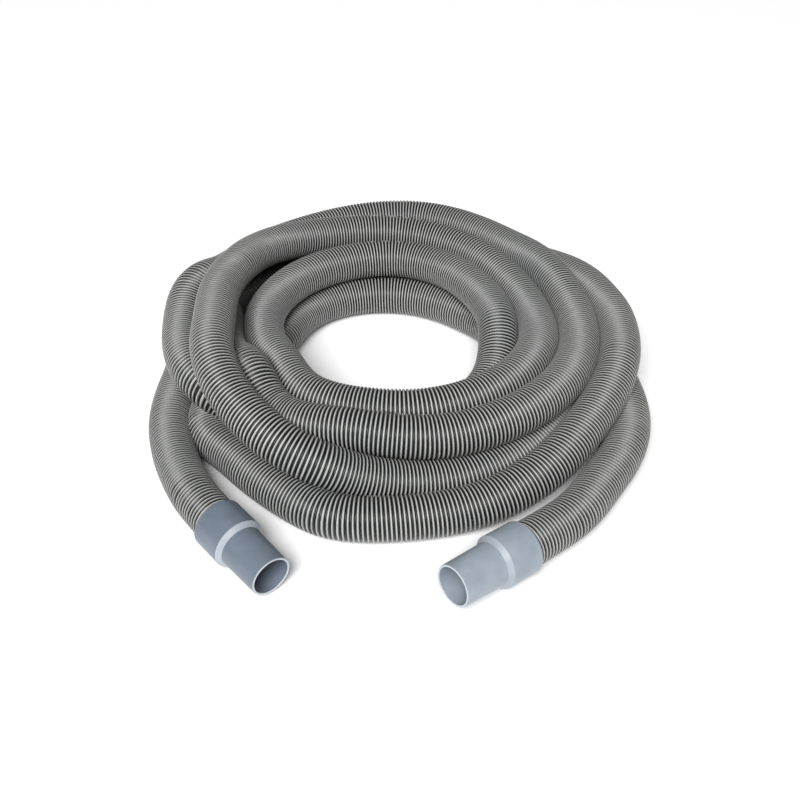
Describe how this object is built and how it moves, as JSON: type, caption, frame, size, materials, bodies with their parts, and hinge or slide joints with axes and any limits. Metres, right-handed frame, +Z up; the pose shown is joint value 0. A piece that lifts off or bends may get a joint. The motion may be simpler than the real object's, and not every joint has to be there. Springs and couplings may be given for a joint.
{
  "type": "vacuum hose",
  "caption": "Corrugated suction hose lying in a loose coil, with a stepped fixed cuff on one end and a swivel cuff on the other.",
  "frame": {"origin": "on the floor under the middle of the whole object's bounding box, coil and cuffs included", "axes": "+Z up, square to the floor; +Y away from the two cuffs, along the longest side; the swivel cuff is on the +X side"},
  "size_m": [0.5727, 0.7197, 0.1353],
  "materials": {
    "hose": "satin ribbed EVA, light crowns and near-black grooves",
    "cuff": "satin blue-grey moulded plastic",
    "insert": "smooth dark moulded plastic",
    "seal": "matte black rubber"
  },
  "bodies": {
    "hose": {"hose_coil": "hose", "hose_end_fixed": "hose", "hose_end_swivel": "hose", "fixed_cuff": "cuff", "swivel_insert": "insert"},
    "swivel": {"swivel_cuff": "cuff", "swivel_retaining_ring": "insert", "swivel_seal": "seal"}
  },
  "joints": [
    {"name": "cuff_swivel", "type": "hinge", "parent": "hose", "child": "swivel", "pos_m": [0.1205, -0.2865, 0.0276], "axis": [-0.7811, -0.6214, 0.061], "continuous": true}
  ]
}
